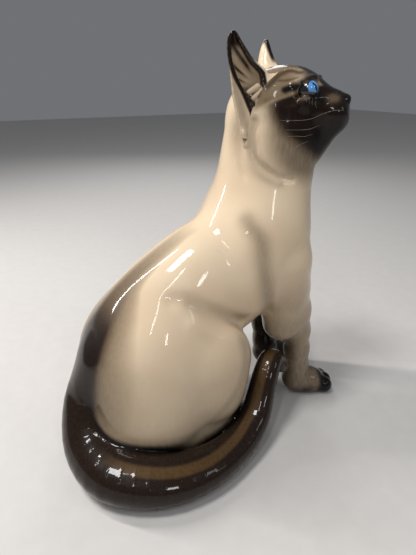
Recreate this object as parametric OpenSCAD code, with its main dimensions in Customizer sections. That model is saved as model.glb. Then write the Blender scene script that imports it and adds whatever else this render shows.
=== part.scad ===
// Large seated Siamese cat in slip-cast, glazed earthenware.
// It sits on the plane Z = 0 facing -Y, with the mid-plane of its body at X = 0.
// The head turns to the cat's own right (-X) and looks up. The tail leaves the rump,
// curls round the right haunch and lies over the right hind paw.

/* [Body] */
// Height from the table to the ear tips
cat_height = 360; // [350:1:364]
// Thickness of the cast wall
wall = 6; // [4:0.5:8]
// Width of the chest behind the shoulders
chest_width = 104; // [96:2:112]
// Width across both haunches
haunch_width = 154; // [146:2:158]
// Height of the seam between the torso casting and the head casting
neck_seam = 252; // [245:1:260]
// Height of the seams at the tops of the forelegs
leg_seam = 110; // [96:1:112]

/* [Head] */
// Turn of the head towards the cat's right, in degrees
head_turn = 50; // [38:1:56]
// Upward tilt of the head, in degrees
head_tilt = 20; // [14:1:24]

/* [Tail] */
// Thickness of the tail where it leaves the rump
tail_root_d = 52; // [48:1:56]
// Thickness of the tail at its rounded tip
tail_tip_d = 15; // [13:1:20]

/* [Base] */
// Thickness of the floor that closes the hollow body
floor_t = 6; // [4:0.5:8]
// Diameter of the vent hole in the floor
vent_d = 14; // [8:1:20]

/* [Hidden] */

cream = "antiquewhite";
seal = "#3a2418";
mask = "#5a4030";
biscuit = "#c9b79c";
right = -1;
left = 1;
big = 500;                   // larger than the whole cat
skin_fn = 32;                // facets round an outer form
limb_fn = 24;                // facets round a leg or the tail
toe_fn = 14;                 // facets round a toe
core_fn = 18;                // facets round a cavity
half_chest = chest_width / 2;
half_haunch = haunch_width / 2;
hind_seam = -8;              // Y of the seams behind the hind paws

// Centre of the skull, and the neck below it
skull_at = [-4, -88, 302];
neck_low = [0, -76, 205];
neck_top = [-3, -85, 280];
neck_low_r = 46;
neck_top_r = 42.5;

// The middle of the vent hole, behind the body's middle
vent_y = 48;

// How late the tail thins towards its tip
tail_taper = 1.15;

// Stations of the tail's centre line, from inside the rump to the tip
tail_path = [
    [0, 84, 84], [-3, 103, 52], [-30, 113.5, 27], [-65, 103, 21], [-89, 70, 19],
    [-95, 31, 18], [-84, -8, 18], [-72, -33, 27], [-62, -47, 44], [-55, -57, 62],
    [-48, -68, 70], [-43, -81, 63], [-40, -88, 51]
];

// ---- building blocks ----

// An ellipsoid whose long axis may lift at the front by `lift` degrees
module egg(at, r, lift = 0, fn = skin_fn) {
    translate(at) rotate([-lift, 0, 0]) scale(r) sphere(1, $fn = fn);
}

module ball(at, r, fn = skin_fn) {
    translate(at) sphere(r, $fn = fn);
}

// A chain of balls joined by hulls, for legs, paws and the tail
module limb(points, radii, fn = skin_fn) {
    for (i = [0 : len(points) - 2]) {
        hull() {
            ball(points[i], radii[i], fn);
            ball(points[i + 1], radii[i + 1], fn);
        }
    }
}

module above(z) {
    translate([-big, -big, z]) cube([2 * big, 2 * big, big]);
}

module below(z) {
    translate([-big, -big, z - big]) cube([2 * big, 2 * big, big]);
}

// ---- forms shared by the castings ----
// `inset` shrinks a form to make the cavity inside it

module pelvis(inset, fn) {
    egg([0, 51, 73], [57, 56, 61] - inset * [1, 1, 1], 0, fn);
}

module loin(inset, fn) {
    egg([0, 32, 120], [half_chest, 50, 59] - inset * [1, 1, 1], -31, fn);
}

module ribs(inset, fn) {
    egg([0, -22, 147], [half_chest, 62, 60] - inset * [1, 1, 1], 42, fn);
}

module chest(inset, fn) {
    egg([0, -68, 178], [half_chest - 2, 62, 46] - inset * [1, 1, 1], 79, fn);
}

module shoulder(side, inset, fn) {
    egg([side * (half_chest - 18), -66, 180], [26, 52, 36] - inset * [1, 1, 1], 81, fn);
}

module seat(inset, fn) {
    egg([0, 38, 34], [60, 62, 44] - inset * [1, 1, 1], 0, fn);
}

module neck(inset, fn) {
    hull() {
        ball(neck_low, neck_low_r - inset, fn);
        ball(neck_top, neck_top_r - inset, fn);
    }
}

module haunch(side, inset, fn) {
    thin = inset * [1, 1, 1];
    hull() {
        egg([side * (half_haunch - 34), 52, 48], [32, 46, 46] - thin, 0, fn);
        egg([side * (half_haunch - 38), 27, 82], [38, 68, 58] - thin, 7, fn);
    }
    hull() {
        egg([side * (half_haunch - 38), 27, 82], [36, 62, 56] - thin, 7, fn);
        egg([side * (half_haunch - 25), -6, 90], [24, 32, 34] - thin, 0, fn);
    }
    hull() {
        egg([side * (half_haunch - 25), -6, 90], [24, 32, 34] - thin, 0, fn);
        egg([side * (half_haunch - 27), -2, 54], [24, 32, 36] - thin, 0, fn);
    }
}

module trunk(inset, fn) {
    hull() { seat(inset, fn); pelvis(inset, fn); }
    hull() { pelvis(inset, fn); loin(inset, fn); }
    hull() { loin(inset, fn); ribs(inset, fn); }
    hull() { ribs(inset, fn); chest(inset, fn); }
    hull() { chest(inset, fn); ball(neck_low, neck_low_r - inset, fn); }
    neck(inset, fn);
    for (side = [right, left]) {
        shoulder(side, inset, fn);
        haunch(side, inset, fn);
    }
}

// Four toes fanned side by side in front of `heel`, the outer two ending shorter
module toes(heel, span, reach, r) {
    offsets = [-1.5, -0.5, 0.5, 1.5];
    for (offset = offsets) {
        hull() {
            ball(heel, r, toe_fn);
            ball([heel[0] + offset * span, heel[1] - reach * (1 - abs(offset) / 4), r], r, toe_fn);
        }
    }
}

// Upper arm, elbow, shank and paw of one foreleg
module foreleg(side) {
    limb([[side * 33, -88, 172], [side * 32, -95, 140], [side * 32, -102, 112], [side * 31, -110, 84],
          [side * 31, -114, 60], [side * 30, -116, 38], [side * 30, -117, 20]],
         [22, 20.5, 18.5, 16, 14.5, 14.5, 15], limb_fn);
    hull() {
        ball([side * 37, -82, 170], 26, limb_fn);
        ball([side * 34, -88, 101], 19, limb_fn);
    }
    hull() {
        ball([side * 30, -119, 17], 15, limb_fn);
        egg([side * 34, -135, 13], [16, 17, 13], 0, limb_fn);
    }
    toes([side * 35, -134.5, 9], 7.5, 20, 9.2);
}

// Hock, metatarsal and paw of one hind leg
module hind_paw(side) {
    limb([[side * 48, 44, 24], [side * 50, 20, 22], [side * 50, -2, 19], [side * 50, -24, 16]],
         [20, 20, 17.5, 15], limb_fn);
    hull() {
        ball([side * 50, -24, 14], 15, limb_fn);
        egg([side * 50, -38, 13], [16, 18, 13], 0, limb_fn);
    }
    toes([side * 50, -36, 8], 7.5, 20, 8);
}

module torso_form() {
    trunk(0, skin_fn);
    for (side = [right, left]) {
        intersection() {
            foreleg(side);
            above(leg_seam);
        }
        intersection() {
            hind_paw(side);
            translate([-big, hind_seam, 0]) cube(2 * big);
        }
    }
}

// Places its children in the turned and tilted head: -Y forward, +Z up, +X the cat's left
module in_head() {
    translate(skull_at) rotate([0, 0, -head_turn]) rotate([-head_tilt, 0, 0]) children();
}

// Cranium, cheeks and muzzle, in the head's own frame
module skull(inset, fn) {
    thin = inset * [1, 1, 1];
    in_head() {
        egg([0, -15, 1], [27, 28, 25] - thin, 0, fn);
        for (side = [right, left]) {
            hull() {
                egg([0, 4, 0], [38, 42, 34] - thin, 0, fn);
                egg([side * 18, -3, -20], [20, 24, 26] - thin, 0, fn);
            }
            hull() {
                egg([side * 18, -3, -20], [18, 24, 24] - thin, 0, fn);
                ball([side * 2, -43, -16], 14 - inset, fn);
            }
        }
        hull() {
            ball([0, -24, -8], 23 - inset, fn);
            ball([0, -45, -14.5], 14.5 - inset, fn);
        }
    }
}

// The chin, the nose, the two eye bosses and the brows above them
module face() {
    in_head() {
        hull() {
            egg([0, -44, -26], [13, 12, 9], 0, limb_fn);
            ball([0, -14, -37], 19, limb_fn);
        }
        hull() {
            egg([0, -57.2, -12], [6, 4.5, 4], 0, limb_fn);
            ball([0, -36, -2], 10, limb_fn);
        }
        for (side = [right, left]) {
            egg([side * 18.6, -32.4, 4.4], [8.6, 8.8, 8], 0, limb_fn);
            hull() {
                ball([side * 13, -35, 10], 5, toe_fn);
                ball([side * 26, -24, 10], 5, toe_fn);
            }
        }
    }
}

module head_form() {
    skull(0, skin_fn);
    face();
    neck(0, skin_fn);
}

// ---- sub-parts ----

module torso_shell() {
    color(cream)
        difference() {
            torso_form();
            trunk(wall, core_fn);
            below(floor_t);
            above(neck_seam);
        }
}

module head_shell() {
    color(mask)
        difference() {
            head_form();
            skull(wall, core_fn);
            neck(wall, core_fn);
            below(neck_seam);
        }
}

// One cupped ear, open forwards and outwards, on a root that the head's wall trims
module ear(side) {
    tip_r = 2.5;
    rim_r = 2.4;
    base = [side * 35, 8, 0];
    base_reach = [17.5, 15];   // across the ear, and back from its opening
    mid_reach = [16, 13];
    // The tip's height in the head's frame puts its top at cat_height
    tip_y = 4.5;
    tip_up = (cat_height - tip_r - skull_at[2] + tip_y * sin(head_tilt)) / cos(head_tilt);
    tip = [side * 40, tip_y, tip_up];
    up = (tip - base) / norm(tip - base);
    open_dir = [side * 0.8, -0.6, -0.1];
    flat = open_dir - (open_dir * up) * up;
    out = flat / norm(flat);
    across = cross(up, out);
    mid = base + (tip - base) * 0.5;
    difference() {
        in_head() {
            for (turn = [-80 : 20 : 80]) {
                hull() {
                    for (a = [turn - 10, turn + 10]) {
                        ball(base + across * base_reach[0] * sin(a) - out * base_reach[1] * cos(a), rim_r, 8);
                        ball(mid + across * mid_reach[0] * sin(a) - out * mid_reach[1] * cos(a), rim_r, 8);
                        ball(tip, tip_r, 8);
                    }
                }
            }
            hull() {
                ball(base - up * 6 - out * 4, 10, core_fn);
                ball(base - out * 4, 13, core_fn);
            }
        }
        skull_trim();
        neck(0, skin_fn);
    }
}

// The part of the skull that an ear stands on
module skull_trim() {
    in_head()
        for (side = [right, left]) {
            hull() {
                egg([0, 4, 0], [38, 42, 34]);
                egg([side * 18, -3, -20], [20, 24, 26]);
            }
        }
}

module right_ear() {
    color(seal) ear(right);
}

module left_ear() {
    color(seal) ear(left);
}

module lower_foreleg(side) {
    difference() {
        foreleg(side);
        above(leg_seam);
        below(0);
    }
}

module right_foreleg() {
    color(seal) lower_foreleg(right);
}

module left_foreleg() {
    color(seal) lower_foreleg(left);
}

module front_of_hind_paw(side) {
    difference() {
        hind_paw(side);
        translate([-big, hind_seam, -big]) cube(2 * big);
        below(0);
    }
}

module right_hind_paw() {
    color(seal) front_of_hind_paw(right);
}

module left_hind_paw() {
    color(seal) front_of_hind_paw(left);
}

module tail() {
    last = len(tail_path) - 1;
    radii = [for (i = [0 : last])
        (tail_root_d + (tail_tip_d - tail_root_d) * pow(i / last, tail_taper)) / 2];
    color(seal)
        difference() {
            limb(tail_path, radii, limb_fn);
            torso_form();
            hind_paw(right);
            foreleg(right);
            below(0);
        }
}

// Flat floor under the seat, with the vent that let air out in the kiln
module base_plate() {
    color(biscuit)
        difference() {
            hull() {
                for (y = [36, 42]) {
                    translate([0, y, 0]) cylinder(h = floor_t, r = 44, $fn = 48);
                }
            }
            translate([0, vent_y, -1]) cylinder(h = floor_t + 2, d = vent_d, $fn = 48);
        }
}

torso_shell();
head_shell();
right_ear();
left_ear();
right_foreleg();
left_foreleg();
right_hind_paw();
left_hind_paw();
tail();
base_plate();
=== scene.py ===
import math

import bpy
import numpy as np
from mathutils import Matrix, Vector


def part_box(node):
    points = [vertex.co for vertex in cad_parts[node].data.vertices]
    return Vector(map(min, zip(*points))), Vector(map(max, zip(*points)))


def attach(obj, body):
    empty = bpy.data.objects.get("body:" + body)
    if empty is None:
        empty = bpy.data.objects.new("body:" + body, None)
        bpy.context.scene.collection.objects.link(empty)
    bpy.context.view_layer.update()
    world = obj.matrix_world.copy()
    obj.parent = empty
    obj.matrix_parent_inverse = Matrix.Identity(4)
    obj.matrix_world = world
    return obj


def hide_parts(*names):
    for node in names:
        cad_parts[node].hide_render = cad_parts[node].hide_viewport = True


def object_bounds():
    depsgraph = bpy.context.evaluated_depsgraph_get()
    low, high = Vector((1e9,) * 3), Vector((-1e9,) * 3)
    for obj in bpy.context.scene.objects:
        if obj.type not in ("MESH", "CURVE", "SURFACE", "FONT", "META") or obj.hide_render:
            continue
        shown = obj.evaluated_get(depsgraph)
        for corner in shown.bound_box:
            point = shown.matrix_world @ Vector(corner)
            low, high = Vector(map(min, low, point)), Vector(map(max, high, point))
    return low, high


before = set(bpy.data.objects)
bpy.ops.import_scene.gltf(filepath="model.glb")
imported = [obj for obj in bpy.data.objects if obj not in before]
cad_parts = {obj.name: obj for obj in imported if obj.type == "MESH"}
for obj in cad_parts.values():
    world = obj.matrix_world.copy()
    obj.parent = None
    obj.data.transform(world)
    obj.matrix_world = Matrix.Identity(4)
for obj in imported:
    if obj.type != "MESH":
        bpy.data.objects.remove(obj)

# A glazed ceramic cat, seated, with its head turned to its right. Its form is one smooth skin, in mm.
# Each CAD part is the stretch of that skin inside its own region, so the parts meet without a gap.

CAD_BOX = [list(corner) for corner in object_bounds()]
MODEL_HEIGHT = 360
MM = (CAD_BOX[1][2] - CAD_BOX[0][2]) / MODEL_HEIGHT
MARGIN = 10
NECK_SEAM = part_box("head_shell")[0].z / MM
LEG_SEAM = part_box("right_foreleg")[1].z / MM
PAW_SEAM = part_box("right_hind_paw")[1].y / MM
PLATE_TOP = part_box("base_plate")[1].z / MM
BODY_STEP = 1.5
LIMB_STEP = 1.1
HEAD_STEP = 0.8

# ---------------------------------------------------------------- the form of the cat, in mm
# Each form is a signed distance: below 0 inside, above 0 outside.

HEAD_AT = (-4, -88, 302)
HEAD_TURN = 50
HEAD_TILT = 20
FLOOR_EASE = 1.5
FAR = 60.0


def vec(*numbers):
    return np.array(numbers, float)


def unit(v):
    return v / (np.linalg.norm(v, axis=-1, keepdims=True) + 1e-12)


def ramp(start, end, x):
    """0 before start, 1 after end, and a smooth step between them."""
    t = np.clip((x - start) / (end - start), 0, 1)
    return t * t * (3 - 2 * t)


def join(a, b, k):
    """Two forms as one, with a fillet of about k where they meet."""
    h = np.clip(0.5 + 0.5 * (b - a) / k, 0, 1)
    return b + (a - b) * h - k * h * (1 - h)


def carve(a, b, k):
    """Form a without form b, with the edge eased by about k."""
    return -join(-a, b, k)


def overlap(a, b, k):
    return -join(-a, -b, k)


def only(near, form, p, *others):
    """The form where near is true, and far away elsewhere, which saves working it out there."""
    d = np.full(p.shape[:-1], FAR)
    d[near] = form(p[near], *others)
    return d


def egg(p, centre, radii, lift=0):
    """An ellipsoid, turned about the x axis by lift degrees, rear end down."""
    q = p - vec(*centre)
    a = math.radians(lift)
    y = q[..., 1] * math.cos(a) - q[..., 2] * math.sin(a)
    z = q[..., 1] * math.sin(a) + q[..., 2] * math.cos(a)
    q = np.stack([q[..., 0], y, z], -1)
    r = vec(*radii)
    near = np.sqrt(((q / r) ** 2).sum(-1))
    slope = np.sqrt(((q / (r * r)) ** 2).sum(-1)) + 1e-9
    return near * (near - 1) / slope


def cone(p, start, end, r_start, r_end):
    """A straight limb with round ends of two sizes."""
    start, end = vec(*start), vec(*end)
    axis = end - start
    length2 = axis @ axis
    taper = r_start - r_end
    side2 = length2 - taper * taper
    q = p - start
    along = q @ axis
    beyond = along - length2
    off = q * length2 - along[..., None] * axis
    off2 = (off * off).sum(-1)
    a2 = along * along * length2
    b2 = beyond * beyond * length2
    k = np.sign(taper) * taper * taper * off2
    past_end = np.sqrt(off2 + b2) / length2 - r_end
    before_start = np.sqrt(off2 + a2) / length2 - r_start
    between = (np.sqrt(off2 * side2 / length2) + along * taper) / length2 - r_start
    inside_end = np.sign(beyond) * side2 * b2 > k
    inside_start = np.sign(along) * side2 * a2 < k
    return np.where(inside_end, past_end, np.where(inside_start, before_start, between))


def chain(p, points, radii, k):
    """Cones from point to point."""
    d = cone(p, points[0], points[1], radii[0], radii[1])
    for i in range(1, len(points) - 1):
        d = join(d, cone(p, points[i], points[i + 1], radii[i], radii[i + 1]), k)
    return d


def spline(knots, steps):
    """A smooth curve through the knots, as a list of points."""
    k = np.array(knots, float)
    k = np.vstack([2 * k[0] - k[1], k, 2 * k[-1] - k[-2]])
    t = np.arange(steps)[:, None] / steps
    parts = []
    for a, b, c, d in zip(k[:-3], k[1:-2], k[2:-1], k[3:]):
        bend = (2 * a - 5 * b + 4 * c - d) * t ** 2 + (3 * b - a - 3 * c + d) * t ** 3
        parts.append(0.5 * (2 * b + (c - a) * t + bend))
    return np.vstack(parts + [k[-2:-1]])


def graph(knots, x):
    """A smooth curve y(x) through the knots (x, y), level beyond its ends."""
    line = spline(sorted(knots), 8)
    return np.interp(x, line[:, 0], line[:, 1])


def head_axes():
    """The head's own axes as columns: its left side, forward and up."""
    turn, tilt = math.radians(HEAD_TURN), math.radians(HEAD_TILT)
    left = vec(math.cos(turn), -math.sin(turn), 0)
    ahead = vec(-math.sin(turn) * math.cos(tilt), -math.cos(turn) * math.cos(tilt), math.sin(tilt))
    return np.stack([left, ahead, np.cross(ahead, left)], 1)


HEAD_AXES = head_axes()


def to_head(p):
    """Row-frame points as (left, forward, up) from the middle of the skull."""
    return (p - vec(*HEAD_AT)) @ HEAD_AXES


def from_head(q):
    return q @ HEAD_AXES.T + vec(*HEAD_AT)


# the tail leaves the rump, lies round the right side on the floor, and its tip curls up at the forelegs
TAIL_KNOTS = [(0, 84, 84), (-3, 103, 52), (-30, 112, 27), (-65, 103, 21), (-89, 70, 19),
              (-94, 31, 18), (-84, -8, 18), (-72, -33, 27), (-62, -47, 44), (-55, -57, 62),
              (-48, -68, 70), (-43, -81, 63), (-40, -88, 51)]
TAIL_RADII = [(26,), (25,), (24.5,), (23.5,), (21.5,), (18.8,), (16.2,), (15,), (13.5,), (12.5,),
              (11.5,), (9,), (7.5,)]
# the tail's flat side, as (place along it, roll inward from the top in radians) and (place, height)
TAIL_ROLL = [(0.2, -0.2), (0.3, -0.42), (0.4, -0.5), (0.48, -0.25), (0.56, 0), (0.7, 0), (1, -0.1)]
TAIL_FLAT = [(0.18, 1.05), (0.32, 0.87), (1, 0.87)]
TAIL_LINE = spline(TAIL_KNOTS, 4)
TAIL_SIZE = spline(TAIL_RADII, 4)[:, 0]
TAIL_HEADING = unit(np.gradient(TAIL_LINE, axis=0))


def tail_place(p):
    """Distance, place along the tail from 0 to 1, and how far outward and upward from its middle."""
    best = np.full(p.shape[:-1], 1e9)
    place = np.zeros_like(best)
    radius = np.zeros_like(best)
    offset = np.zeros(p.shape)
    heading = np.zeros(p.shape)
    count = len(TAIL_LINE) - 1
    for i in range(count):
        axis = TAIL_LINE[i + 1] - TAIL_LINE[i]
        t = np.clip(((p - TAIL_LINE[i]) @ axis) / (axis @ axis), 0, 1)
        r = TAIL_SIZE[i] + (TAIL_SIZE[i + 1] - TAIL_SIZE[i]) * t
        off = p - TAIL_LINE[i] - t[..., None] * axis
        d = np.sqrt((off ** 2).sum(-1)) - r
        closer = d < best
        best = np.where(closer, d, best)
        place = np.where(closer, (i + t) / count, place)
        radius = np.where(closer, r, radius)
        offset = np.where(closer[..., None], off, offset)
        turn = TAIL_HEADING[i] + (TAIL_HEADING[i + 1] - TAIL_HEADING[i]) * t[..., None]
        heading = np.where(closer[..., None], turn, heading)
    outward = unit(np.cross(heading, vec(0, 0, 1)))
    upward = unit(np.cross(outward, heading))
    out = (offset * outward).sum(-1) / radius
    up = (offset * upward).sum(-1) / radius
    return best, place, out, up, radius


def tail_form(p):
    """A round tail with one flatter side, so that a soft ridge runs along it."""
    d, place, out, up, radius = tail_place(p)
    roll = graph(TAIL_ROLL, place)
    top = up * np.cos(roll) - out * np.sin(roll)
    facet = (top - graph(TAIL_FLAT, place)) * radius
    return overlap(d, facet, 5)


def trunk_form(p):
    d = egg(p, (0, 51, 73), (57, 56, 61))
    d = join(d, egg(p, (0, 38, 34), (60, 62, 44)), 20)
    d = join(d, egg(p, (0, 32, 120), (52, 50, 59), -31), 28)
    d = join(d, egg(p, (0, -22, 147), (52, 62, 60), 42), 28)
    d = join(d, egg(p, (0, -68, 178), (50, 62, 46), 79), 26)
    for side in (-1, 1):
        d = join(d, egg(p, (side * 34, -66, 180), (26, 52, 36), 81), 16)
    return join(d, cone(p, (0, -76, 205), (-3, -85, 280), 46, 42.5), 24)


def haunch_form(p, side):
    d = egg(p, (side * 34, 27, 82), (38, 68, 58), 7)
    d = join(d, egg(p, (side * 48, -6, 90), (24, 32, 34)), 14)
    d = join(d, egg(p, (side * 42, 52, 48), (32, 46, 46)), 14)
    return join(d, egg(p, (side * 46, -2, 54), (24, 32, 36)), 16)


def hind_paw_form(p, side):
    sole = [(side * 48, 44, 24), (side * 50, 20, 22), (side * 50, -2, 19), (side * 50, -24, 16)]
    d = chain(p, sole, [20, 20, 17.5, 15], 4)
    d = join(d, egg(p, (side * 50, -38, 13), (16, 18, 13)), 6)
    return join(d, toes(p, (side * 50, -36, 9), 7.5, 20, 7.5), 3)


def toes(p, heel, span, reach, r):
    d = None
    for place in (-1.5, -0.5, 0.5, 1.5):
        end = (heel[0] + place * span, heel[1] - reach * (1 - abs(place) / 4), r)
        toe = cone(p, heel, end, r, r)
        d = toe if d is None else join(d, toe, 1.2)
    return d


def foreleg_form(p, side):
    line = [(side * 33, -88, 172), (side * 32, -95, 140), (side * 32, -102, 112), (side * 31, -110, 84),
            (side * 31, -114, 60), (side * 30, -116, 38), (side * 30, -117, 20)]
    d = chain(p, line, [22, 20, 18.5, 15, 13.2, 13.2, 14], 6)
    d = join(d, cone(p, (side * 37, -82, 170), (side * 34, -88, 101), 26, 19), 8)
    d = join(d, cone(p, (side * 30, -119, 17), (side * 33, -130, 14), 15, 14), 4)
    d = join(d, egg(p, (side * 34, -135, 13), (16, 17, 13)), 6)
    return join(d, toes(p, (side * 35, -134, 10), 7.5, 20, 9), 3)


def skull_form(q):
    d = egg(q, (0, -4, 0), (38, 42, 34))
    d = join(d, egg(q, (0, 15, 1), (27, 28, 25)), 10)
    for side in (-1, 1):
        d = join(d, egg(q, (side * 18, 3, -20), (20, 24, 26)), 10)
    d = join(d, cone(q, (0, 24, -8), (0, 45, -14.5), 23, 14.5), 8)
    d = join(d, egg(q, (0, 44, -26), (13, 12, 9)), 5)
    return join(d, cone(q, (0, 42, -27), (0, 14, -37), 9.5, 20), 8)


EYE_AT = (18.6, 32.4, 4.4)
EYE_R = (8.6, 8.8, 8.0)


def face_form(q, d):
    """Eyes in their sockets, brow, lids, whisker pads, cheek bones and nose."""
    for side in (-1, 1):
        d = carve(d, egg(q, (side * 27, 36, 3), (7, 11, 6.5)), 6)
        d = join(d, egg(q, (side * EYE_AT[0], EYE_AT[1], EYE_AT[2]), EYE_R), 1)
        d = join(d, cone(q, (side * 13, 39.5, 12), (side * 28, 27, 13), 1.4, 1.0), 6)
        d = join(d, cone(q, (side * 14, 42, -6), (side * 30, 29, -1.5), 1.2, 0.9), 5)
        d = join(d, egg(q, (side * 8, 48, -20), (9, 9, 7.5)), 6)
        d = join(d, cone(q, (side * 27, 27, -6), (side * 34, 8, -1), 1.8, 1.8), 9)
    return join(d, egg(q, (0, 57.2, -12), (6, 4.5, 4)), 3)


# an ear is a cup: its edges and depths are given along the ear, as (distance from the lobe, distance)
EAR_LOBE = (-37, -12, -9)
EAR_UP = (-0.034, 0.108, 0.994)
EAR_ACROSS = (0.6, 0.798, -0.066)
EAR_REAR = [(-16, -2), (-10, -8), (0, -11.5), (12, -12.8), (26, -13), (40, -11.8), (52, -11),
            (62, -10.3), (70, -7.6), (74.5, -3.4)]
EAR_FRONT = [(-16, 2), (-10, 10), (0, 18), (15, 22), (30, 22), (41, 17.5), (50, 9.6), (60, 4.6),
             (70, 0.4), (74.5, -1.6)]
EAR_BACK = [(-16, 3), (-10, 10), (0, 16), (15, 19), (30, 19), (40, 16), (50, 12), (60, 8),
            (70, 3.5), (74.5, 1)]
CUP_REAR = [(0, 1.7), (12, 0.6), (27, -2.6), (35, -5), (42, -6.8), (54, -7.8), (66, -6), (72, -3)]
CUP_FRONT = [(0, 2.3), (11, 3.8), (18, 6.6), (25, 10.4), (30, 12), (38, 12.6), (42, 10.4),
             (49, 5.8), (61, 1.4), (68, -0.9), (72, -2.2)]
CUP_DEPTH = [(0, 1), (10, 5.5), (20, 9), (30, 11), (42, 10), (55, 6.5), (66, 3), (72, 0.6)]
EAR_FAN_AT = (14, 30)
# the two ears differ a little: how far each leans forward, and how much it is shortened
EAR_LEAN = {-1: 0, 1: 6}
EAR_SHORT = {-1: 1, 1: 1.03}


def ear_place(q, side):
    """Head points as (across, along, out) on the ear, where out is the way that its cup opens."""
    right = q * vec(-side, 1, 1) - vec(*EAR_LOBE)
    right = right - vec(0, 1, 0) * EAR_LEAN[side] * ramp(20, 100, right[..., 2])[..., None]
    up = unit(vec(*EAR_UP))
    across = unit(vec(*EAR_ACROSS))
    return right @ across, right @ up * EAR_SHORT[side], right @ np.cross(up, across)


def cup_section(x, out, rear, front, depth):
    """Distance to a half-oval channel between two edges."""
    half = (front - rear) / 2
    middle = (front + rear) / 2
    near = np.sqrt(((x - middle) / half) ** 2 + (out / depth) ** 2)
    return (near - 1) * np.minimum(half, depth)


def ear_ridges(x, along):
    """-1 in the furrows and 1 on the ridges that fan out inside the ear."""
    angle = np.arctan2(along - EAR_FAN_AT[1], EAR_FAN_AT[0] - x)
    return np.cos(angle * 20 + 0.6) * ramp(8, 20, np.hypot(x - EAR_FAN_AT[0], along - EAR_FAN_AT[1]))


def ear_form(q, side):
    """The solid ear, and the cup to carve from it."""
    x, along, out = ear_place(q, side)
    depth = np.where(out > 0, 2, graph(EAR_BACK, along))
    solid = cup_section(x, out, graph(EAR_REAR, along), graph(EAR_FRONT, along), depth) * 0.9
    solid = overlap(solid, along - 73.5, 3)
    solid = overlap(solid, -15 - along, 3)
    deep = graph(CUP_DEPTH, along) + 0.6 * ear_ridges(x, along)
    below = np.minimum(out - 0.5, 0)
    rear, front = graph(CUP_REAR, along), graph(CUP_FRONT, along)
    cup = cup_section(x, below, rear, front, np.maximum(deep, 0.4)) * 0.8
    cup = overlap(cup, along - 71.5, 2)
    cup = overlap(cup, 1 - along, 2)
    return solid, cup


def ear_tuft(q, side):
    """The small folds of fur across the bottom of the cup."""
    x, along, out = ear_place(q, side)
    p = np.stack([x, along, out], -1)
    d = cone(p, (1.5, 27, -3), (8.5, 29.5, -0.5), 2.2, 2.6)
    d = join(d, cone(p, (4, 22, -2), (10.5, 25, 0), 2, 2.6), 0.8)
    return join(d, cone(p, (6, 17.5, -1), (12, 20.5, 0), 1.6, 2.4), 0.8)


# creases in the skin, as (line, depth, width); the neck's are in head axes and the body's in row axes
NECK_CREASES = [([(-42, -10, -5), (-44, -14.5, -14), (-45.5, -17, -28), (-46, -15, -36),
                  (-45, -9, -46), (-42, -2, -54), (-35, 6, -59)], 2.4, 3),
                ([(-45, -20, -12), (-46, -23, -29), (-47, -19, -40), (-47, -13, -48),
                  (-43, -4, -57)], -1.3, 3.6),
                ([(-45, -28, -16), (-46, -31, -34), (-45, -29, -48)], 1.1, 3)]
BODY_CREASES = [([(-44, 34, 160), (-47, 20, 157), (-52, 4, 146), (-52, -17, 133),
                  (-48, -30, 123)], 3, 6),
                ([(-40, -37, 215), (-48, -40, 208), (-54, -45, 198), (-57, -46, 183),
                  (-59, -48, 166), (-55, -54, 143), (-45, -63, 126)], 1.8, 7),
                ([(-55, 22, 138), (-60, 6, 128), (-62, -14, 118)], -1.5, 7)]


def creases(p, table):
    """How far the skin dips below its smooth form, on both sides alike."""
    right = np.stack([-np.abs(p[..., 0]), p[..., 1], p[..., 2]], -1)
    dip = np.zeros(p.shape[:-1])
    for knots, deep, wide in table:
        dip += deep * np.exp(-(path_distance(right, spline(knots, 3)) / wide) ** 2)
    return dip


def path_distance(p, line):
    best = np.full(p.shape[:-1], 1e9)
    for start, end in zip(line[:-1], line[1:]):
        axis = end - start
        t = np.clip(((p - start) @ axis) / (axis @ axis), 0, 1)
        best = np.minimum(best, np.sqrt(((p - start - t[..., None] * axis) ** 2).sum(-1)))
    return best


def body_form(p):
    d = only(p[..., 2] < 345, trunk_form, p)
    fold = 6 + 22 * ramp(-20, 60, p[..., 1])
    x, y, z = p[..., 0], p[..., 1], p[..., 2]
    for side in (-1, 1):
        mine = x * side > -25
        d = join(d, only(mine & (z < 170) & (y > -75), haunch_form, p, side), fold)
        d = join(d, only(mine & (z < 60) & (y < 80), hind_paw_form, p, side), 5)
        d = join(d, only(mine & (z < 225) & (y < -35), foreleg_form, p, side), 7)
    return d


def head_form(q):
    return face_form(q, skull_form(q))


def head_and_ears(q):
    d = head_form(q)
    for side in (-1, 1):
        near = q[..., 0] * side > 5
        solid = only(near, lambda p: ear_form(p, side)[0], q)
        cup = only(near, lambda p: ear_form(p, side)[1], q)
        d = carve(join(d, solid, 4), cup, 1.6)
        d = join(d, only(near, ear_tuft, q, side), 0.8)
    return d


def cat_form(p):
    """The whole cat but its tail."""
    d = body_form(p)
    head = only(p[..., 2] > 215, lambda high: head_and_ears(to_head(high)), p)
    d = join(d, head, 5)
    throat = (p[..., 2] > 225) & (p[..., 2] < 325)
    d[throat] += creases(to_head(p[throat]), NECK_CREASES)
    trunk = (p[..., 2] > 95) & (p[..., 2] < 235)
    d[trunk] += creases(p[trunk], BODY_CREASES)
    return d


def whole_form(p):
    tail = only(p[..., 2] < 125, tail_form, p)
    root = 2.5 + 12 * ramp(60, 95, p[..., 1]) * ramp(30, 60, p[..., 2])
    return overlap(join(cat_form(p), tail, root), -p[..., 2], FLOOR_EASE)
# ---------------------------------------------------------------- meshes from the form

CUBE = np.array([(0, 0, 0), (1, 0, 0), (0, 1, 0), (1, 1, 0), (0, 0, 1), (1, 0, 1), (0, 1, 1), (1, 1, 1)])
COARSE = 4


def spread(grid):
    for axis in range(3):
        grid = np.repeat(grid, COARSE, axis)
    return grid


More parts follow.
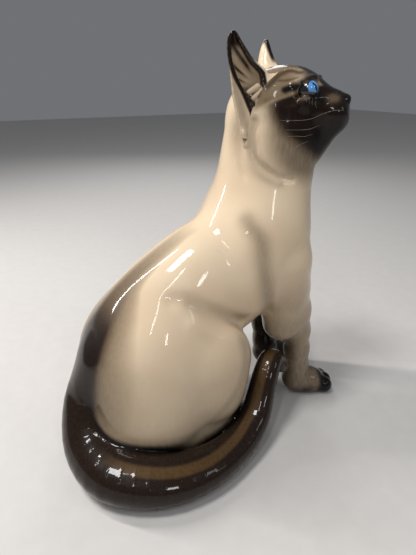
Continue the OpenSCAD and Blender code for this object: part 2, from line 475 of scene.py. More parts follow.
def sampled(field, low, high, step):
    """The field's values on a grid: exact close to the surface, and only of the right sign elsewhere."""
    big = step * COARSE
    count = np.ceil((high - low) / big).astype(int)
    cells = np.stack(np.meshgrid(*[np.arange(n) for n in count], indexing="ij"), -1)
    middle = field(low + (cells + 0.5) * big)
    values = np.pad(spread(middle), ((0, 1),) * 3, mode="edge")
    wanted = np.pad(spread(np.abs(middle) < big * 1.5), ((0, 1),) * 3)
    for axis in range(3):
        wanted = wanted | np.roll(wanted, 1, axis)
    values[wanted] = field(low + np.argwhere(wanted) * step)
    return values


def surface_net(values, low, step):
    """A vertex in each grid cell that the surface passes through, and a quad across each crossed edge."""
    inside = values < 0
    size = np.array(values.shape) - 1
    filled = np.zeros(size, int)
    for c in CUBE:
        filled += inside[c[0]:c[0] + size[0], c[1]:c[1] + size[1], c[2]:c[2] + size[2]]
    cells = np.argwhere((filled > 0) & (filled < 8))
    number = np.full(size, -1)
    number[tuple(cells.T)] = np.arange(len(cells))
    total = np.zeros((len(cells), 3))
    hits = np.zeros(len(cells))
    corner = [values[tuple((cells + c).T)] for c in CUBE]
    for a in range(8):
        for b in range(a + 1, 8):
            if np.abs(CUBE[a] - CUBE[b]).sum() != 1:
                continue
            crossed = (corner[a] < 0) != (corner[b] < 0)
            t = corner[a] / np.where(crossed, corner[a] - corner[b], 1)
            total += np.where(crossed[:, None], CUBE[a] + t[:, None] * (CUBE[b] - CUBE[a]), 0)
            hits += crossed
    points = low + (cells + total / hits[:, None]) * step
    return points, np.vstack([crossed_quads(inside, number, axis) for axis in range(3)])


def crossed_quads(inside, number, axis):
    """The quads across the crossed grid edges that run along one axis."""
    ways = np.eye(3, dtype=int)
    u, v = ways[(axis + 1) % 3], ways[(axis + 2) % 3]
    before = np.take(inside, range(inside.shape[axis] - 1), axis)
    after = np.take(inside, range(1, inside.shape[axis]), axis)
    edges = np.argwhere(before != after)
    whole = ((edges > 0) | (ways[axis] > 0)) & (edges < number.shape)
    edges = edges[whole.all(1)]
    quads = np.stack([number[tuple((edges - o).T)] for o in (u + v, v, 0 * u, u)], 1)
    leaving = inside[tuple(edges.T)]
    return np.where(leaving[:, None], quads, quads[:, ::-1])


def slope(form, p, reach=0.2):
    """The form's gradient, from four samples round each point."""
    total = np.zeros(p.shape)
    for way in vec(1, 1, 1), vec(1, -1, -1), vec(-1, 1, -1), vec(-1, -1, 1):
        total += form(p + way * reach)[:, None] * way
    return total / (4 * reach)


def settle(skin, region, p, step):
    """Moves the vertices onto the skin, onto the edge of the region, or onto the line where they meet."""
    start = p
    f, g = skin(p), region(p)
    edge = (np.abs(f) < 0.75 * step) & (np.abs(g) < 0.75 * step)
    on_skin = edge | (f >= g)
    on_cut = edge | (f < g)
    for _ in range(3):
        fa = np.where(on_skin, skin(p), 0)
        ga = np.where(on_cut, region(p), 0)
        fs = slope(skin, p)
        gs = slope(region, p)
        ff, gg, fg = (fs * fs).sum(1), (gs * gs).sum(1), (fs * gs).sum(1)
        spare = np.maximum(ff * gg - fg * fg, 0.1)
        a = np.where(edge, (gg * fa - fg * ga) / spare, fa / np.maximum(ff, 0.2))
        b = np.where(edge, (ff * ga - fg * fa) / spare, ga / np.maximum(gg, 0.2))
        p = p - a[:, None] * fs - b[:, None] * gs
        off = p - start
        far = np.linalg.norm(off, axis=1, keepdims=True)
        p = start + off * np.minimum(1, 1.2 * step / (far + 1e-9))
    return p


def triangles(quads, points):
    """Splits each quad along its shorter diagonal."""
    a = np.linalg.norm(points[quads[:, 0]] - points[quads[:, 2]], axis=1)
    b = np.linalg.norm(points[quads[:, 1]] - points[quads[:, 3]], axis=1)
    short = (a <= b)[:, None]
    first = np.where(short, quads[:, [0, 1, 2]], quads[:, [0, 1, 3]])
    second = np.where(short, quads[:, [0, 2, 3]], quads[:, [1, 2, 3]])
    return np.vstack([first, second])


def largest_shell(points, faces):
    """Drops loose crumbs: keeps the connected piece with the most faces."""
    label = np.arange(len(points))
    changed = True
    while changed:
        new = label.copy()
        low = label[faces].min(1)
        for i in range(3):
            np.minimum.at(new, faces[:, i], low)
        new = new[new]
        changed = (new != label).any()
        label = new
    names, counts = np.unique(label[faces[:, 0]], return_counts=True)
    faces = faces[label[faces[:, 0]] == names[counts.argmax()]]
    used, flat = np.unique(faces, return_inverse=True)
    return points[used], flat.reshape(faces.shape)


def corner_normals(skin, points, faces):
    """Smooth normals from the form's slope on the skin, and flat ones on the hidden cut faces."""
    smooth_normals = unit(slope(skin, points))[faces]
    a, b, c = (points[faces[:, i]] for i in range(3))
    flat = unit(np.cross(b - a, c - a))
    agree = (smooth_normals * flat[:, None]).sum(2).min(1) > 0.35
    return np.where(agree[:, None, None], smooth_normals, flat[:, None])


def new_object(name, points, faces, normals=None):
    """A mesh object from points in mm."""
    mesh = bpy.data.meshes.new(name)
    mesh.from_pydata((points * MM).tolist(), [], faces.tolist())
    mesh.polygons.foreach_set("use_smooth", [True] * len(mesh.polygons))
    if normals is not None:
        mesh.normals_split_custom_set(normals.reshape(-1, 3).tolist())
    piece = bpy.data.objects.new(name, mesh)
    bpy.context.scene.collection.objects.link(piece)
    return piece


def add_masks(piece, masks):
    """Stores each paint mask as a vertex attribute."""
    for name, values in masks.items():
        attribute = piece.data.attributes.new(name, "FLOAT", "POINT")
        attribute.data.foreach_set("value", np.clip(values, 0, 1).astype(np.float32))


def carved_piece(name, skin, region, node, step, paint):
    """One sub-part: the skin inside its region, near its CAD node."""
    low, high = (np.array(corner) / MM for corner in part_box(node))
    low, high = low - MARGIN, high + MARGIN
    values = sampled(lambda p: np.maximum(skin(p), region(p)), low, high, step)
    points, quads = surface_net(values, low, step)
    points = settle(skin, region, points, step)
    points, faces = largest_shell(points, triangles(quads, points))
    piece = new_object(name, points, faces, corner_normals(skin, points, faces))
    add_masks(piece, paint(points))
    return piece


# ---------------------------------------------------------------- which part each stretch of skin belongs to

SIDES = {"right": -1, "left": 1}
# the base plate's rounded outline: its radius, and where its middle line starts and ends along Y
PLATE_R = 44.2
PLATE_MIDDLE = (36, 42)


def leg_region(p, side):
    """Below 0 inside the foreleg below its seam."""
    rest = join(trunk_form(p), haunch_form(p, side), 10)
    return np.maximum(p[..., 2] - LEG_SEAM, (foreleg_form(p, side) - rest) / 1.4)


def paw_region(p, side):
    rest = join(trunk_form(p), haunch_form(p, side), 10)
    return np.maximum(p[..., 1] - PAW_SEAM, (hind_paw_form(p, side) - rest) / 1.4)


def tail_region(p):
    return (tail_form(p) - body_form(p)) / 1.4


def ear_region(p, side):
    q = to_head(p)
    rest = join(head_form(q), trunk_form(p), 8)
    return (ear_form(q, side)[0] - rest) / 1.4


def head_region(p):
    return np.maximum(NECK_SEAM - p[..., 2], -np.minimum(ear_region(p, -1), ear_region(p, 1)))


def torso_region(p):
    x, y, z = p[..., 0], p[..., 1], p[..., 2]
    d = z - NECK_SEAM
    for side in SIDES.values():
        mine = x * side > -10
        d = np.maximum(d, -only(mine & (z < LEG_SEAM + 30) & (y < -40), leg_region, p, side))
        d = np.maximum(d, -only(mine & (z < 70) & (y < 30), paw_region, p, side))
    return np.maximum(d, -only(z < 125, tail_region, p))


def plate_recess(p):
    """The space for the base plate, and the hollow above its vent hole."""
    y = p[..., 1]
    off = np.hypot(p[..., 0], y - np.clip(y, PLATE_MIDDLE[0], PLATE_MIDDLE[1]))
    recess = np.maximum(off - PLATE_R, p[..., 2] - PLATE_TOP)
    hollow = egg(p, (0, 40, 46), (38, 38, 44))
    return np.minimum(recess, hollow)


def torso_skin(p):
    d = whole_form(p)
    low = p[..., 2] < 95
    d[low] = np.maximum(d[low], -plate_recess(p[low]))
    return d


# ---------------------------------------------------------------- where each colour of glaze was brushed, and where shade and shadow are painted

# brush lines lie on the right side: the face's are in head axes and the body's in row axes
UPPER_LID = [(-17, 41, -4), (-17, 40, 5), (-20, 37, 11), (-25, 31, 11)]
LOWER_LID = [(-17, 41, -4), (-22, 39, -4), (-26, 35, 0), (-29, 29, 5), (-31, 22, 9)]
EYE_BAND = [(-24, 33, 9), (-27, 29, 8), (-29, 23, 10), (-31, 18, 10)]
# each stroke is a line, a width and a strength
BROW_STROKES = [([(-33, 5, 17), (-31, 8, 18), (-24, 16, 23), (-18, 23, 23), (-16, 30, 19),
                  (-8, 35, 19)], 3.2, 0.72),
                ([(-29, 8, 19), (-28, 11, 20), (-27, 19, 17), (-24, 26, 16), (-21, 32, 15)], 1.9, 0.6),
                ([(-10, 4, 32), (-8, 14, 29), (-7, 24, 25), (-5, 32, 21)], 6.5, 0.75),
                ([(-36, 2, 7), (-34, 10, 6), (-31, 19, 6)], 2.0, 0.5)]
MOUTH = [(-1, 61, -15), (-7, 59, -13), (-13, 56, -19), (-17, 50, -18), (-18, 44, -17), (-22, 37, -17)]
JOWL = NECK_CREASES[0][0][:-1]
# where the face's dark glaze and the throat's spray begin, as (up, forward) in head axes
FACE_EDGE = [(-70, 36), (-45, 22), (-35, 18), (-25, 12), (-15, 7.5), (-5, 5.5), (4, 6)]
SMOKE_EDGE = [(-95, 30), (-75, 12), (-60, 0), (-50, -8), (-35, -12), (-20, -10), (0, -8)]
# the folds of the body, where shade is painted, and the line of spray up the back of an ear
ARM_LINE = [(-42, -38, 214), (-54, -45, 198), (-59, -47, 172), (-56, -54, 146), (-46, -64, 124)]
KNEE_LINE = [(-47, -34, 128), (-54, -12, 138), (-54, 8, 148), (-48, 22, 156)]
FLANK_LINE = [(-64, -26, 110), (-70, -22, 88), (-72, -10, 66), (-70, 14, 40)]
EAR_SPINE = [(-11, 44, 0), (-9, 20, 0), (-8, 4, 0), (-7, -10, 0)]

# the spine's stripe as (height, half width) and (height, strength), the half width of the tail's ochre
# band along the tail, and the strength of the forelegs' spray by height
STRIPE_HALF = [(20, 48), (62, 47), (99, 42), (122, 35), (141, 26), (155, 18), (168, 12), (200, 7)]
STRIPE_STRENGTH = [(60, 1), (105, 1), (130, 0.85), (150, 0.62), (175, 0.42), (200, 0.15), (220, 0)]
TAIL_BAND = [(0.2, 0.22), (0.4, 0.27), (0.6, 0.34), (0.9, 0.5)]
LEG_STRENGTH = [(5, 1), (40, 0.85), (75, 0.72), (105, 0.6), (130, 0.3), (160, 0)]


def brushed(p, knots, width):
    """1 on a brush line, and soft to 0 on both sides of it."""
    return np.exp(-(path_distance(p, spline(knots, 4)) / width) ** 2)


def sprayed(p, centre, radii):
    """1 in the middle of an airbrushed patch."""
    return np.exp(-(((p - vec(*centre)) / vec(*radii)) ** 2).sum(-1))


def most(*masks):
    total = masks[0]
    for mask in masks[1:]:
        total = np.maximum(total, mask)
    return total


def to_right(q):
    """Mirrors head points onto the head's right side, where the brush lines are given."""
    return np.stack([-np.abs(q[:, 0]), q[:, 1], q[:, 2]], -1)


def neck_spray_and_crease_shade(p):
    """Grey-brown spray on the throat and behind the ears, and painted shade along the jaw crease."""
    m = to_right(to_head(p))
    smoke = 0.85 * ramp(-2, 20, m[:, 1] - graph(SMOKE_EDGE, m[:, 2])) * (1 - ramp(2, 8, m[:, 2]))
    # painted shade in tan along the jaw crease
    crease = most(0.75 * brushed(m, JOWL, 2), 0.35 * brushed(m, JOWL, 7))
    behind = 0.8 * sprayed(m, (-45, -30, 0), (14, 11, 24))
    return most(smoke, crease, behind)


def leg_spray(p):
    """The spray that darkens down each foreleg."""
    near = np.minimum(*(only(p[:, 2] < 165, foreleg_form, p, side) for side in SIDES.values()))
    return graph(LEG_STRENGTH, p[:, 2]) * (1 - ramp(1, 16, near))


def body_shade(p):
    """Painted shade in light tan: in the folds behind the shoulder, at the elbow, the knee, the flank and
    the chest.
    """
    # painted shade, darker towards the bottom of each side
    shade = 0.3 * (1 - ramp(40, 150, p[:, 2])) * ramp(30, 60, np.abs(p[:, 0]))
    for side in SIDES.values():
        m = p * vec(-side, 1, 1)
        arm = 0.6 * brushed(m, ARM_LINE, 8)
        elbow = 0.5 * sprayed(m, (-48, -84, 128), (26, 26, 34))
        knee = 0.5 * brushed(m, KNEE_LINE, 6)
        flank = 0.45 * brushed(m, FLANK_LINE, 9)
        chest = 0.35 * sprayed(m, (-30, -118, 190), (22, 24, 46))
        shade = most(shade, arm, elbow, knee, flank, chest)
    return shade


def body_paint(p):
    x, y, z = p[:, 0], p[:, 1], p[:, 2]
    half = graph(STRIPE_HALF, z)
    strong = graph(STRIPE_STRENGTH, z)
    behind = ramp(-10, 20, y)
    off = np.abs(x + 2)
    spine = strong * (1 - ramp(0.45 * half, 1.1 * half, off)) * behind
    halo = np.sqrt(strong * (1 - ramp(0.8 * half, 1.5 * half, off)) * behind)
    tail_near = only(z < 130, tail_form, p)
    # painted shadow, in seal brown and black, where the tail lies against the body
    tail_contact_shadow = 1 - ramp(1, 9, tail_near)
    # painted shade in seal brown under the belly, between the legs
    under = (1 - ramp(96, 120, z)) * (1 - ramp(24, 46, np.abs(x))) * (1 - ramp(-30, 0, y))
    # painted shade in tan beside the tail
    shade_by_tail = 0.6 * (1 - ramp(4, 24, tail_near))
    # tan and seal hold the glaze's own colours and also the painted shade and shadow above
    tan = most(body_shade(p), 0.75 * halo, shade_by_tail, neck_spray_and_crease_shade(p), leg_spray(p))
    seal = most(spine, tail_contact_shadow, 0.9 * under)
    return {"tan": tan, "gold": 0.6 * halo, "ochre": 0 * x, "seal": seal, "black": 0.8 * tail_contact_shadow}


def foreleg_paint(p):
    y, z = p[:, 1], p[:, 2]
    masks = body_paint(p)
    behind = ramp(-112, -96, y) * (1 - ramp(60, 100, z))
    heel = (1 - ramp(2, 20, z - 0.18 * (-100 - y))) * ramp(-142, -120, y)
    toes_dark = (1 - ramp(-146, -131, y + 0.35 * (z - 20))) * (1 - ramp(34, 44, z))
    masks["seal"] = most(masks["seal"], 0.8 * behind, 0.95 * heel, toes_dark)
    masks["black"] = toes_dark
    return masks


def hind_paw_paint(p):
    y, z = p[:, 1], p[:, 2]
    masks = body_paint(p)
    toes_dark = 1 - ramp(-52, -34, y)
    ahead = 1 - ramp(-44, PAW_SEAM - 2, y)
    masks["tan"] = most(masks["tan"], ahead * (1 - ramp(26, 44, z)))
    masks["seal"] = most(masks["seal"], 0.85 * ahead * (1 - ramp(14, 30, z)), toes_dark)
    masks["black"] = toes_dark
    return masks


def tail_paint(p):
    _, place, out, up, _ = tail_place(p)
    roll = graph(TAIL_ROLL, place)
    lateral = out * np.cos(roll) + up * np.sin(roll)
    top = up * np.cos(roll) - out * np.sin(roll) > 0.3
    off = np.abs(lateral + 0.04) / graph(TAIL_BAND, place)
    band = (1 - ramp(0.4, 1.3, off)) * top * ramp(0.2, 0.3, place) * (1 - ramp(0.92, 0.96, place))
    tip = ramp(0.955, 0.975, place)
    zero = np.zeros(len(p))
    # painted shadow, in black, on the tail's inner side where it meets the body; the tail there is seal
    # brown glaze as well
    tail_contact_shadow = 1 - ramp(0, 7, body_form(p))
    black = most(0.5 * tip, 0.9 * tail_contact_shadow)
    return {"tan": zero, "gold": zero, "ochre": 0.95 * band, "seal": 1 - 0.2 * tip, "black": black}


def head_paint(p):
    m = to_right(to_head(p))
    s, f, u = m[:, 0], m[:, 1], m[:, 2]
    low_face = 1 - ramp(2, 8, u)
    edge = graph(FACE_EDGE, u)
    face = low_face * ramp(edge - 11, edge + 9, f)
    strokes = most(*[strong * brushed(m, knots, width) for knots, width, strong in BROW_STROKES])
    crown = most(ramp(25, 38, f) * ramp(4, 12, u), 0.72 * ramp(8, 32, f) * ramp(12, 26, u + 0.3 * s))
    bridge = (1 - ramp(7, 15, -s)) * ramp(18, 32, f)
    muzzle = ramp(34, 40, f) * low_face
    band = most(brushed(m, EYE_BAND, 3), brushed(m, UPPER_LID, 2.2), brushed(m, LOWER_LID, 1.7))
    socket = sprayed(m, (-21, 37, 4), (9, 9, 10))
    lobe = sprayed(m, (-37, -9, 0), (5, 5, 10))
    seal = most(face, strokes, 0.9 * crown, bridge, muzzle, band, socket, 0.4 * lobe)
    patch = sprayed(m, (-12, 50, -8), (7, 8, 5))
    lash = sprayed(m, (-29, 30, 0), (6, 6, 4))
    seal = seal * (1 - 0.42 * most(patch, 0.9 * lash))
    gold = ramp(-16, 0, f) * ramp(0, 8, u) * (1 - 0.5 * ramp(20, 34, f))
    chin = ramp(14, 34, f) * (1 - ramp(-34, -18, u))
    nose = 1 - ramp(4, 8, np.linalg.norm(m - vec(0, 59, -12), axis=1))
    line = brushed(m, MOUTH, 1.1)
    tan = most(neck_spray_and_crease_shade(p), 0.6 * gold)
    black = most(band, 0.9 * nose, 0.9 * line, 0.6 * bridge * ramp(24, 34, f), 0.9 * socket, 0.75 * chin)
    return {"tan": tan, "gold": gold, "ochre": 0 * s, "seal": seal, "black": black * (1 - 0.6 * lash)}


def ear_paint(p, side):
    q = to_head(p)
    x, along, out = ear_place(q, side)
    cup = ear_form(q, side)[1]
    inside = 1 - ramp(0.25, 0.7, cup)
    rim = ramp(0.2, 0.6, cup) * (1 - ramp(2.4, 4.0, cup)) * ramp(-5, -2, out)
    # painted shade in the furrows between the ridges inside the ear
    furrow = (0.5 - 0.5 * ear_ridges(x, along)) ** 2
    edge = ramp(-4.2, -0.8, out)
    bowl = (1 - ramp(26, 38, along)) * ramp(-2, 4, 9 - np.abs(x - 4))
    tuft = 1 - ramp(0.2, 1.2, ear_tuft(q, side))
    lobe = (1 - ramp(8, 20, along)) * ramp(-7, -2, along) * ramp(-6, -2, x - graph(CUP_REAR, along))
    tip = ramp(62, 69, along) * ramp(-5, -1, out)
    furrow = 0.9 * furrow * ramp(12, 22, along)
    dark = inside * most(furrow, 0.95 * edge, 0.85 * bowl, ramp(54, 66, along))
    seal = most(rim, dark, 0.95 * lobe * ramp(-6, -1, out), 0.9 * tip) * (1 - 0.9 * tuft)
    spine = brushed(np.stack([x, along, 0 * out], -1), EAR_SPINE, 5)
    tan = most(0.55 * spine * (1 - inside), 0.12 * inside, 0.6 * lobe, neck_spray_and_crease_shade(p) * (1 - inside))
    return {"tan": tan, "gold": 0.2 * inside, "ochre": 0 * x, "seal": seal, "black": 0.3 * rim}


# ---------------------------------------------------------------- glazes

# colours are linear red, green and blue
CREAM = (0.78, 0.63, 0.45)
CREAM_WARM = (0.71, 0.55, 0.38)
# TAN, SEAL and BLACK also serve as painted shade and painted shadow
TAN = (0.15, 0.11, 0.072)
GOLD = (0.21, 0.138, 0.066)
SEAL = (0.009, 0.0036, 0.0022)
SEAL_THIN = (0.050, 0.026, 0.013)
OCHRE = (0.09, 0.052, 0.021)
BLACK = (0.006, 0.006, 0.0068)


class Nodes:
    """A short way to write a material's nodes."""

    def __init__(self, name):
        self.material = bpy.data.materials.new(name)
        self.material.use_nodes = True
        self.tree = self.material.node_tree
        self.shader = self.tree.nodes["Principled BSDF"]

    def add(self, kind, **values):
        node = self.tree.nodes.new(kind)
        for name, value in values.items():
            setattr(node, name, value)
        return node

    def link(self, source, target):
        if hasattr(source, "is_output"):
            self.tree.links.new(source, target)
        else:
            target.default_value = source

    def math(self, operation, *inputs):
        node = self.add("ShaderNodeMath", operation=operation, use_clamp=False)
        for socket, value in zip(node.inputs, inputs):
            self.link(value, socket)
        return node.outputs[0]

    def mask(self, name):
        return self.add("ShaderNodeAttribute", attribute_name=name).outputs["Fac"]

    def place(self):
        return self.add("ShaderNodeTexCoord").outputs["Object"]

    def noise(self, scale, detail=3, stretch=(1, 1, 1)):
        mapping = self.add("ShaderNodeMapping")
        mapping.inputs["Scale"].default_value = stretch
        self.link(self.place(), mapping.inputs["Vector"])
        node = self.add("ShaderNodeTexNoise")
        self.link(mapping.outputs[0], node.inputs["Vector"])
        node.inputs["Scale"].default_value = scale
        node.inputs["Detail"].default_value = detail
        return node.outputs["Fac"]

    def step(self, value, low, high, out_low=0.0, out_high=1.0):
        node = self.add("ShaderNodeMapRange", interpolation_type="SMOOTHSTEP")
        for socket, number in zip(node.inputs, (value, low, high, out_low, out_high)):
            self.link(number, socket)
        return node.outputs[0]

    def mix(self, factor, a, b):
        node = self.add("ShaderNodeMix", data_type="RGBA")
        self.link(factor, node.inputs[0])
        for socket, colour in ((node.inputs[6], a), (node.inputs[7], b)):
            self.link(colour if hasattr(colour, "is_output") else (*colour, 1), socket)
        return node.outputs[2]

    def bump(self, height, strength, distance):
        node = self.add("ShaderNodeBump")
        node.inputs["Strength"].default_value = strength
        node.inputs["Distance"].default_value = distance
        self.link(height, node.inputs["Height"])
        return node.outputs["Normal"]

    def set(self, **values):
        for name, value in values.items():
            self.link(value, self.shader.inputs[name.replace("_", " ")])


def brushed_mask(n, name, ragged, soft, streaks):
    """A paint mask whose edge is broken up by the brush and the spray."""
    loose = n.math("MULTIPLY", n.math("SUBTRACT", streaks, 0.5), ragged)
    return n.step(n.math("ADD", n.mask(name), loose), 0.5 - soft, 0.5 + soft)


def glaze(name):
    """Cream glaze with its painted colours under one clear, very glossy coat."""
    n = Nodes(name)
    broad = n.noise(14, 2)
    fine = n.noise(1500, 3)
    spray = n.noise(2400, 3)
    streak = n.noise(420, 4, (1, 1, 0.3))
    speck = n.noise(420, 1)
    colour = n.mix(n.step(broad, 0.35, 0.7), CREAM, CREAM_WARM)
    colour = n.mix(n.math("MULTIPLY", n.mask("gold"), 0.85), colour, GOLD)
    # the tan mask also paints shade: in the body's folds and low sides, beside the tail and along the jaw
    # crease
    tan = n.math("MULTIPLY", n.mask("tan"), n.step(streak, 0.1, 0.8, 0.86, 1.04))
    colour = n.mix(tan, colour, TAN)
    # the seal and black masks also paint shade under the belly and in the ear's furrows, and shadow where
    # the tail meets the body
    seal = brushed_mask(n, "seal", 0.09, 0.5, streak)
    edge = n.step(n.math("MULTIPLY", seal, n.math("SUBTRACT", 1, seal)), 0.02, 0.22)
    thin = n.math("MAXIMUM", edge, n.step(streak, 0.52, 0.9, 0.0, 0.35))
    cover = n.math("MULTIPLY", seal, n.step(spray, 0.2, 0.6, 0.95, 1))
    colour = n.mix(cover, colour, n.mix(thin, SEAL, SEAL_THIN))
    ochre = brushed_mask(n, "ochre", 0.3, 0.5, streak)
    colour = n.mix(ochre, colour, n.mix(n.step(streak, 0.35, 0.75, 0.0, 0.6), OCHRE, SEAL_THIN))
    black = brushed_mask(n, "black", 0.12, 0.48, streak)
    colour = n.mix(n.math("MULTIPLY", black, 0.94), colour, BLACK)
    pits = n.step(speck, 0.77, 0.8)
    colour = n.mix(n.math("MULTIPLY", pits, 0.3), colour, TAN)
    height = n.math("SUBTRACT", n.math("MULTIPLY", broad, 0.7), n.math("MULTIPLY", pits, 0.03))
    height = n.math("ADD", height, n.math("MULTIPLY", fine, 0.0012))
    n.set(Base_Color=colour, Normal=n.bump(height, 0.35, 0.002))
    n.set(Roughness=n.step(fine, 0.2, 0.8, 0.22, 0.34))
    n.set(Coat_Weight=0.6, Coat_Roughness=0.035, Coat_IOR=1.38, Specular_IOR_Level=0.05)
    return n.material


def biscuit():
    """Bare fired clay, chalky, with grit and kiln marks."""
    n = Nodes("biscuit_clay")
    grit = n.noise(1500, 4)
    cloud = n.noise(40, 3)
    colour = n.mix(cloud, (0.62, 0.50, 0.38), (0.74, 0.64, 0.52))
    colour = n.mix(n.step(grit, 0.62, 0.72), colour, (0.36, 0.25, 0.16))
    n.set(Base_Color=colour, Normal=n.bump(grit, 0.4, 0.0006))
    n.set(Roughness=n.step(grit, 0.2, 0.8, 0.75, 0.95))
    return n.material


def eye_glaze():
    n = Nodes("eye_glaze")
    rays = n.noise(700, 3)
    blue = n.mix(rays, (0.06, 0.25, 0.62), (0.13, 0.40, 0.84))
    colour = n.mix(n.mask("iris"), BLACK, blue)
    colour = n.mix(n.mask("pupil"), colour, BLACK)
    n.set(Base_Color=colour, Normal=n.bump(rays, 0.05, 0.0003))
    n.set(Roughness=n.step(rays, 0.2, 0.8, 0.12, 0.2))
    n.set(Coat_Weight=1.0, Coat_Roughness=0.02)
    return n.material


def line_glaze():
    n = Nodes("pale_line_glaze")
    worn = n.noise(900, 3)
    colour = n.mix(n.step(worn, 0.35, 0.65), (0.11, 0.085, 0.065), (0.24, 0.20, 0.165))
    n.set(Base_Color=colour, Normal=n.bump(worn, 0.2, 0.0003))
    n.set(Roughness=n.step(worn, 0.2, 0.8, 0.45, 0.6))
    return n.material


# ---------------------------------------------------------------- eyes and drawn lines

IRIS_LOOK = (-0.53, 0.847, -0.02)
IRIS_REACH = 0.76
EYE_TILT = 0.30
EYE_RINGS = 70
EYE_SPOKES = 96


def eye_axes(side):
    """The way the iris looks, and its own across and upward."""
    look = unit(vec(*IRIS_LOOK) * vec(-side, 1, 1))
    across = unit(np.cross(vec(0, 0, 1), look))
    upward = unit(np.cross(look, across) - side * EYE_TILT * across)
    return look, np.cross(upward, look), upward


def round_ball(look, across, upward):
    """Points on a ball, in rings that are closer together at the iris."""
    angle = math.pi * (np.arange(1, EYE_RINGS) / EYE_RINGS) ** 1.4
    turn = 2 * math.pi * np.arange(EYE_SPOKES) / EYE_SPOKES
    ring = np.cos(turn)[:, None] * across + np.sin(turn)[:, None] * upward
    ball = np.cos(angle)[:, None, None] * look + np.sin(angle)[:, None, None] * ring
    return np.vstack([look[None], ball.reshape(-1, 3), -look[None]])


def ball_faces():
    k = np.arange(EYE_SPOKES)
    after = (k + 1) % EYE_SPOKES
    faces = list(zip(0 * k, 1 + k, 1 + after))
    for ring in range(EYE_RINGS - 2):
        start = 1 + ring * EYE_SPOKES
        below = start + EYE_SPOKES
        faces += list(zip(start + k, below + k, below + after))
        faces += list(zip(start + k, below + after, start + after))
    last = 1 + (EYE_RINGS - 2) * EYE_SPOKES
    return np.array(faces + list(zip(last + k, last + EYE_SPOKES + 0 * k, last + after)))


def eyeball(name, side):
    """A glossy ball with a low lens over a round iris, and an upright slit pupil."""
    look, across, upward = eye_axes(side)
    ball = round_ball(look, across, upward)
    off = np.arccos(np.clip(ball @ look, -1, 1))
    lens = 1.02 + 0.05 * (1 - ramp(0, IRIS_REACH + 0.1, off))
    points = from_head(ball * vec(*EYE_R) * lens[:, None] + vec(*EYE_AT) * vec(side, 1, 1))
    piece = new_object(name, points, ball_faces())
    slit = np.abs(ball @ across) - 0.13 * (1 - ((ball @ upward) / 0.68) ** 2)
    outer = -side * (ball @ across)
    lid = ramp(0.40, 0.46, 0.62 * outer - 0.78 * (ball @ upward))
    iris = (1 - ramp(IRIS_REACH - 0.05, IRIS_REACH + 0.02, off)) * (1 - lid)
    add_masks(piece, {"iris": iris, "pupil": (1 - ramp(-0.02, 0.02, slit)) * (off < 1)})
    return piece


WHISKERS = [[(-13, 55, -20), (-17, 45, -17), (-22, 33, -18), (-31, 24, -16), (-39, 10, -11)],
            [(-15, 35, -25), (-23, 28, -25), (-32, 22, -23), (-39, 12, -19)],
            [(-21, 29, -30), (-29, 23, -29), (-34, 19, -27), (-39, 11, -24)],
            [(-24, 25, -34), (-31, 19, -34), (-35, 13, -36)]]


WHISKER_R = 0.22
LASH_R = 0.17
LINE_SIDES = 6


def line_on_skin(knots, side):
    """A smooth line through head points, brought onto the cat's skin, with the skin's normals."""
    line = from_head(spline([(-side * k[0], k[1], k[2]) for k in knots], 8))
    for _ in range(4):
        g = slope(cat_form, line)
        line = line - (cat_form(line) / (g * g).sum(1))[:, None] * g
    return line, unit(slope(cat_form, line))


def tapered_tube(line, normal, thick, start):
    """A thin tube along the line, thinner at its ends. Its points are numbered from start."""
    across = unit(np.cross(unit(np.gradient(line, axis=0)), normal))
    size = thick * np.sin(np.pi * (0.06 + 0.88 * np.linspace(0, 1, len(line)))) ** 0.5
    turn = 2 * math.pi * np.arange(LINE_SIDES) / LINE_SIDES
    ring = np.cos(turn)[None, :, None] * across[:, None] + np.sin(turn)[None, :, None] * normal[:, None]
    tube = (line[:, None] + size[:, None, None] * ring).reshape(-1, 3)
    faces = []
    for i in range(len(line) - 1):
        for j in range(LINE_SIDES):
            a, b = start + i * LINE_SIDES + j, start + i * LINE_SIDES + (j + 1) % LINE_SIDES
            faces += [(a, b, b + LINE_SIDES), (a, b + LINE_SIDES, a + LINE_SIDES)]
    first = start + len(tube)
    end = first - LINE_SIDES
    for j in range(LINE_SIDES):
        after = (j + 1) % LINE_SIDES
        faces += [(first, start + after, start + j), (first + 1, end + j, end + after)]
    return np.vstack([tube, line[:1], line[-1:]]), faces


def drawn_lines(name, lines, side, thick):
    """Fine raised lines that lie on the head and taper at both ends."""
    points, faces = np.zeros((0, 3)), []
    for knots in lines:
        line, normal = line_on_skin(knots, side)
        tube, its_faces = tapered_tube(line, normal, thick, len(points))
        points = np.vstack([points, tube])
        faces += its_faces
    return new_object(name, points, np.array(faces))


def lash_lines():
    """Short strokes that hang from the lower lid."""
    lid = spline(LOWER_LID, 6)[7:-1:3]
    lines = []
    for i, top in enumerate(lid):
        drop = 6.5 - 0.35 * i
        middle = top + vec(-0.6, -0.8, -1.5 - drop / 2)
        lines.append([top + vec(0, 0, -1.5), middle, top + vec(0, -0.5, -1.5 - drop)])
    return lines


# ---------------------------------------------------------------- floor, lights and camera

CAMERA_AT = (-337, 159, 325)
CAMERA_HEADING = -28.2
CAMERA_PITCH = 24.5
LENS = 28.15


def look_camera():
    data = bpy.data.cameras.new("camera")
    data.lens = LENS
    data.sensor_width = 36
    data.clip_start = 0.01
    camera = bpy.data.objects.new("camera", data)
    bpy.context.scene.collection.objects.link(camera)
    camera.location = Vector(CAMERA_AT) * MM
    heading, pitch = math.radians(CAMERA_HEADING), math.radians(-CAMERA_PITCH)
    level = math.cos(pitch)
    ahead = Vector((math.cos(heading) * level, math.sin(heading) * level, math.sin(pitch)))
    camera.rotation_euler = ahead.to_track_quat("-Z", "Y").to_euler()
    bpy.context.scene.camera = camera


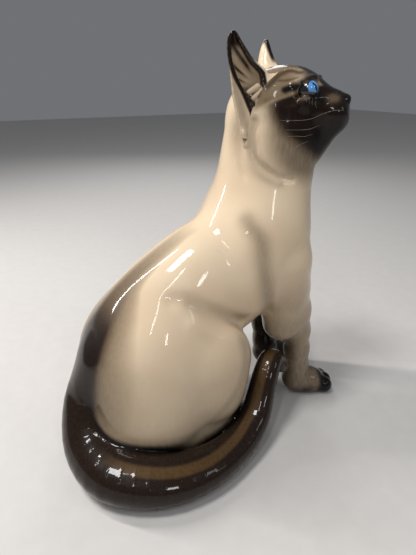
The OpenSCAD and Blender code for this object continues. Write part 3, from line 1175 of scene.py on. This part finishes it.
def soft_light(name, place, target, width, height, power, colour=(1, 1, 1)):
    data = bpy.data.lights.new(name, "AREA")
    data.shape = "RECTANGLE"
    data.size, data.size_y = width, height
    data.energy = power
    data.color = colour
    light = bpy.data.objects.new(name, data)
    bpy.context.scene.collection.objects.link(light)
    light.location = place
    light.rotation_euler = (Vector(target) - Vector(place)).to_track_quat("-Z", "Y").to_euler()


def floor_plane():
    mesh = bpy.data.meshes.new("floor")
    reach = 4
    corners = [(-reach, -reach, 0), (reach, -reach, 0), (reach, reach, 0), (-reach, reach, 0)]
    mesh.from_pydata(corners, [], [(0, 1, 2, 3)])
    floor = bpy.data.objects.new("floor", mesh)
    bpy.context.scene.collection.objects.link(floor)
    n = Nodes("pale_floor")
    paper = n.noise(60, 3)
    n.set(Base_Color=n.mix(paper, (0.60, 0.58, 0.56), (0.66, 0.64, 0.62)), Roughness=0.8)
    mesh.materials.append(n.material)


def stage():
    floor_plane()
    world = bpy.data.worlds.new("studio")
    world.use_nodes = True
    background = world.node_tree.nodes["Background"]
    background.inputs["Color"].default_value = (0.80, 0.83, 0.88, 1)
    background.inputs["Strength"].default_value = 0.2
    bpy.context.scene.world = world
    bpy.context.scene.view_settings.view_transform = "Standard"
    middle = (0, -0.02, 0.18)
    soft_light("tall_strip", (0.60, 0.65, 0.85), middle, 0.05, 1.0, 9, (1, 0.97, 0.93))
    soft_light("ceiling", (-0.10, 0.55, 1.5), middle, 0.3, 0.3, 11)
    soft_light("lamp", (-1.15, 0.10, 0.85), middle, 0.08, 0.25, 1.6, (1, 0.98, 0.95))
    soft_light("lamp_high", (-0.55, 0.5, 1.05), middle, 0.06, 0.35, 1.5, (1, 0.98, 0.95))
    soft_light("side_fill", (-1.2, -0.9, 1.2), middle, 0.25, 0.5, 2, (0.95, 0.97, 1))
    soft_light("far_fill", (1.2, -0.6, 0.9), middle, 0.6, 0.6, 4)
    look_camera()


# ---------------------------------------------------------------- the pieces

FACE_SLOT = "mask_glaze"


def finish_piece(piece, material, node=None):
    piece.data.materials.append(material)
    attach(piece, "root")
    if node:
        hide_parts(node)


def build_part(node, skin, region, step, paint, slot):
    piece = carved_piece(node + "_glazed", skin, region, node, step, paint)
    finish_piece(piece, glaze(slot), node)


def build_side(name, side):
    """The foreleg, the hind paw and the ear of one side."""
    build_part(name + "_foreleg", whole_form, lambda p: leg_region(p, side), LIMB_STEP,
               foreleg_paint, "paw_glaze")
    build_part(name + "_hind_paw", whole_form, lambda p: paw_region(p, side), LIMB_STEP,
               hind_paw_paint, "paw_glaze")
    build_part(name + "_ear", whole_form, lambda p: ear_region(p, side), HEAD_STEP,
               lambda p: ear_paint(p, side), "ear_glaze")


def build_cat():
    build_part("torso_shell", torso_skin, torso_region, BODY_STEP, body_paint, "cream_glaze")
    build_part("tail", whole_form, tail_region, LIMB_STEP, tail_paint, "tail_glaze")
    build_part("head_shell", whole_form, head_region, HEAD_STEP, head_paint, FACE_SLOT)
    for name, side in SIDES.items():
        build_side(name, side)


def build_face():
    """The eyes and the drawn lines, which ride with the head and replace no CAD node."""
    eye_material = eye_glaze()
    line_material = line_glaze()
    for name, side in SIDES.items():
        finish_piece(eyeball(name + "_eye", side), eye_material)
        whiskers = drawn_lines(name + "_whisker_lines", WHISKERS, side, WHISKER_R)
        finish_piece(whiskers, line_material)
        lashes = drawn_lines(name + "_lash_lines", lash_lines(), side, LASH_R)
        finish_piece(lashes, line_material)


def keep_base_plate():
    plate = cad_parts["base_plate"]
    plate.data.materials.clear()
    plate.data.materials.append(biscuit())


build_cat()
build_face()
keep_base_plate()
stage()
bpy.context.view_layer.update()
